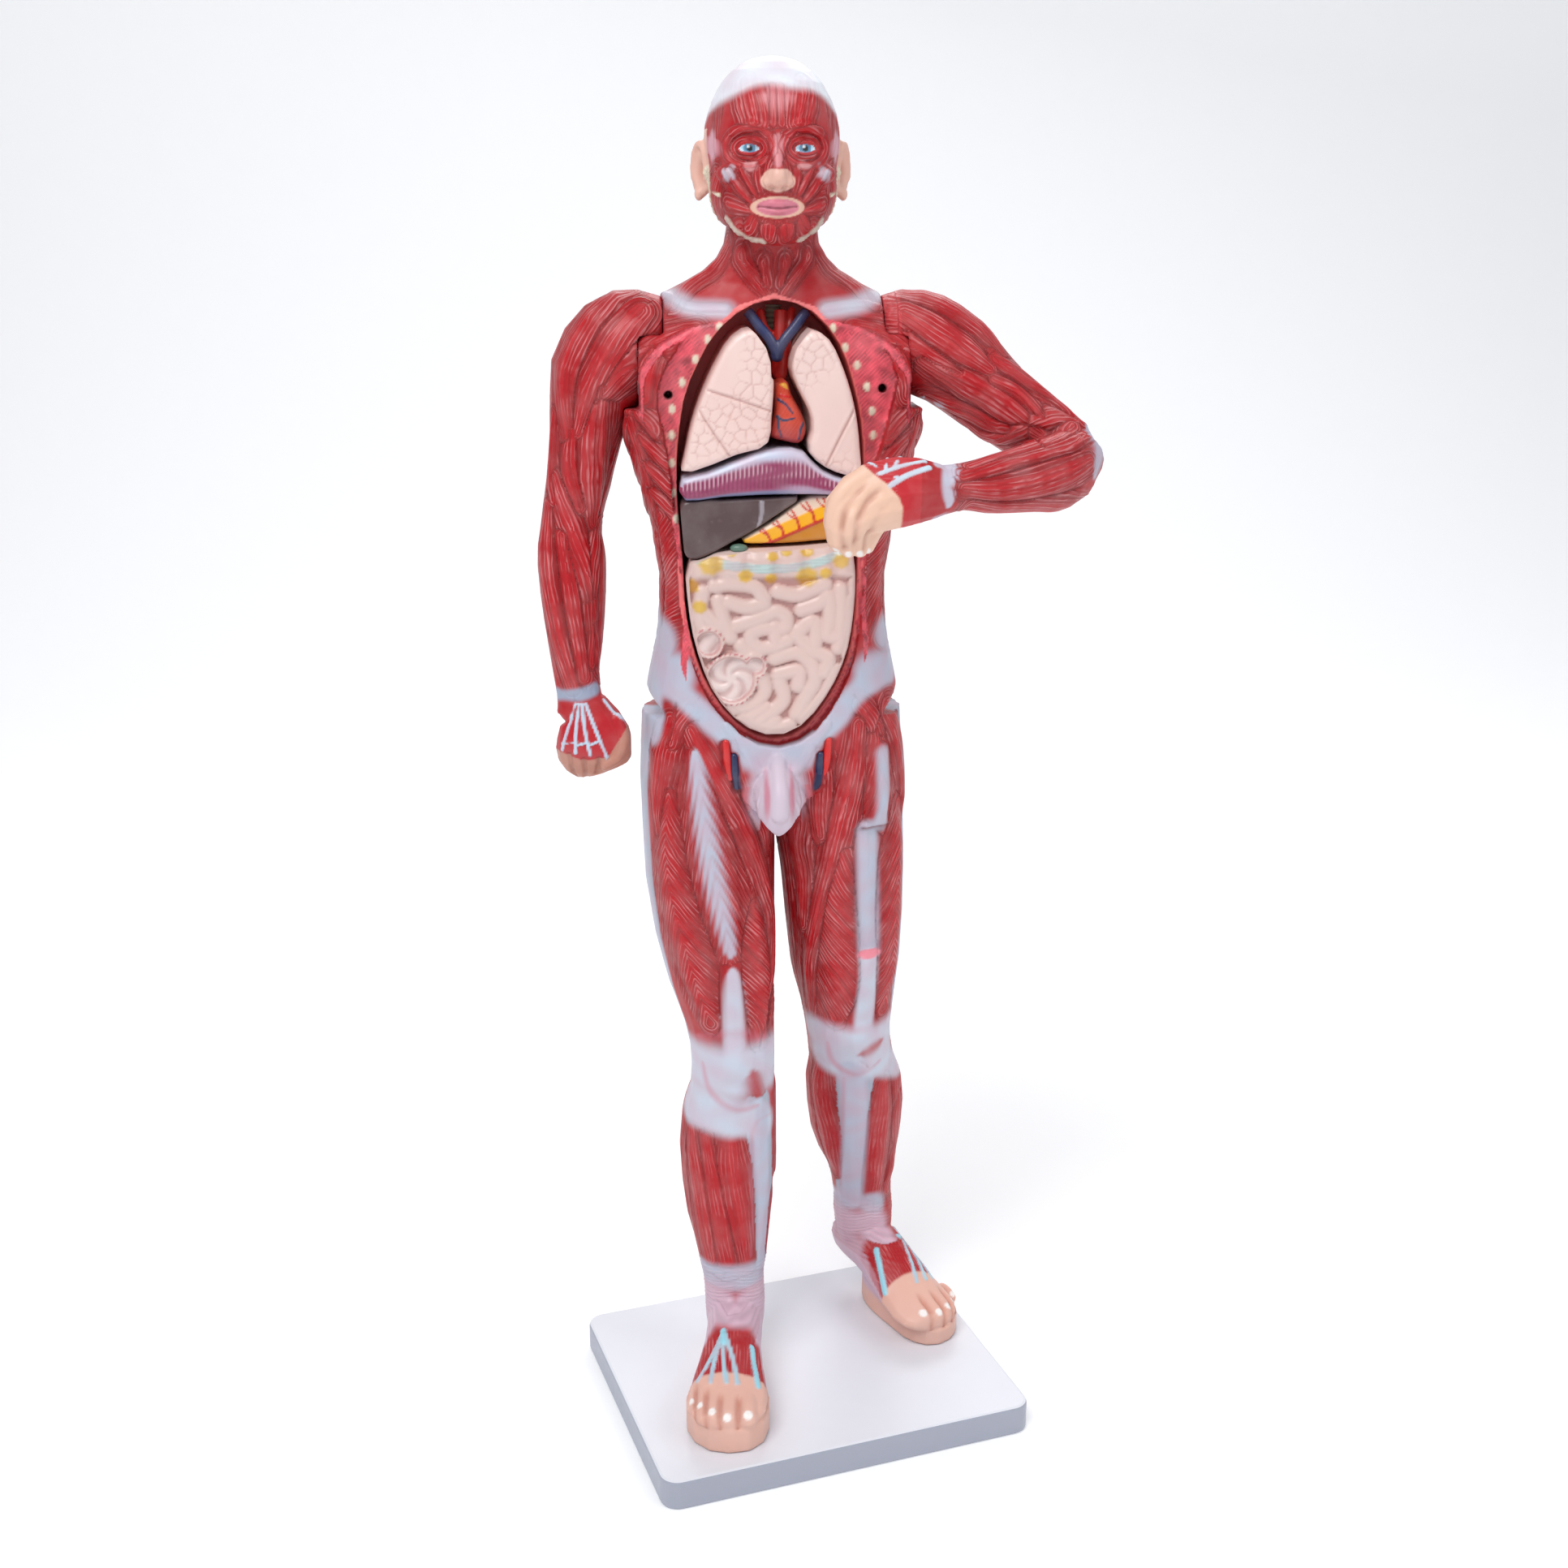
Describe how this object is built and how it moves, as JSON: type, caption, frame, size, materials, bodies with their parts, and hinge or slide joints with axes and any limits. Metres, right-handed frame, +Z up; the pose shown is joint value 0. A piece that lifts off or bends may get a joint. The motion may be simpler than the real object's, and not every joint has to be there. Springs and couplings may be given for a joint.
{
  "type": "standing muscle and organ figure",
  "caption": "Standing human muscle figure on a square board, with an open chest and belly, lift-out organs and pull-off arms.",
  "frame": {"origin": "centre of the board's flat underside", "axes": "+Z up the figure, -Y to the figure's front, +X to the figure's own left; the board is turned 15 degrees about Z"},
  "size_m": [0.3392, 0.2524, 0.85],
  "materials": {
    "board_white": "satin white moulded board",
    "painted_muscle": "satin airbrushed muscle red over cream PVC",
    "painted_head": "satin airbrushed muscle red with pale scalp",
    "painted_leg": "satin airbrushed muscle red with pale tendons",
    "painted_arm": "satin airbrushed muscle red with pale tendons",
    "lung_pink": "semi-gloss pale pink with a fine line net",
    "heart_paint": "semi-gloss orange red",
    "diaphragm_paint": "semi-gloss violet with a pale dome",
    "liver_paint": "gloss dark brown",
    "stomach_paint": "semi-gloss cream and yellow",
    "intestines_paint": "semi-gloss pale pink",
    "vein_blue": "semi-gloss dark blue",
    "artery_red": "semi-gloss red",
    "airway_grey": "semi-gloss grey green",
    "pad_rubber": "matt black rubber",
    "steel": "plain bright steel"
  },
  "bodies": {
    "trunk": {"base_board": "board_white", "board_pad_1": "pad_rubber", "board_pad_2": "pad_rubber", "board_pad_3": "pad_rubber", "board_pad_4": "pad_rubber", "screw_right_toe": "steel", "screw_right_heel": "steel", "screw_left_toe": "steel", "screw_left_heel": "steel", "leg_right": "painted_leg", "leg_left": "painted_leg", "torso_shell": "painted_muscle", "head": "painted_head", "shoulder_magnet_right": "steel", "shoulder_magnet_left": "steel", "great_veins": "vein_blue", "aorta": "artery_red", "trachea": "airway_grey"},
    "right_arm": {"arm_right": "painted_arm", "arm_peg_right": "steel", "arm_magnet_right": "steel"},
    "left_arm": {"arm_left": "painted_arm", "arm_peg_left": "steel", "arm_magnet_left": "steel"},
    "right_lung_body": {"right_lung": "lung_pink", "right_lung_peg": "steel"},
    "left_lung_body": {"left_lung": "lung_pink", "left_lung_peg": "steel"},
    "heart_body": {"heart": "heart_paint", "heart_peg": "steel"},
    "diaphragm_body": {"diaphragm": "diaphragm_paint", "diaphragm_peg": "steel"},
    "liver_body": {"liver": "liver_paint", "liver_peg": "steel"},
    "stomach_body": {"stomach": "stomach_paint", "stomach_peg": "steel"},
    "intestines_body": {"intestines": "intestines_paint", "intestines_peg": "steel"}
  },
  "joints": [
    {"name": "right_arm_pull", "type": "slide", "parent": "trunk", "child": "right_arm", "axis": [-1, 0, 0], "range_m": [0, 0.06]},
    {"name": "left_arm_pull", "type": "slide", "parent": "trunk", "child": "left_arm", "axis": [1, 0, 0], "range_m": [0, 0.06]},
    {"name": "right_lung_lift", "type": "slide", "parent": "trunk", "child": "right_lung_body", "axis": [0, -1, 0], "range_m": [0, 0.11]},
    {"name": "left_lung_lift", "type": "slide", "parent": "trunk", "child": "left_lung_body", "axis": [0, -1, 0], "range_m": [0, 0.038]},
    {"name": "heart_lift", "type": "slide", "parent": "trunk", "child": "heart_body", "axis": [0, -1, 0], "range_m": [0, 0.11]},
    {"name": "diaphragm_lift", "type": "slide", "parent": "trunk", "child": "diaphragm_body", "axis": [0, -1, 0], "range_m": [0, 0.038]},
    {"name": "liver_lift", "type": "slide", "parent": "trunk", "child": "liver_body", "axis": [0, -1, 0], "range_m": [0, 0.11]},
    {"name": "stomach_lift", "type": "slide", "parent": "trunk", "child": "stomach_body", "axis": [0, -1, 0], "range_m": [0, 0.038]},
    {"name": "intestines_lift", "type": "slide", "parent": "trunk", "child": "intestines_body", "axis": [0, -1, 0], "range_m": [0, 0.11]}
  ]
}
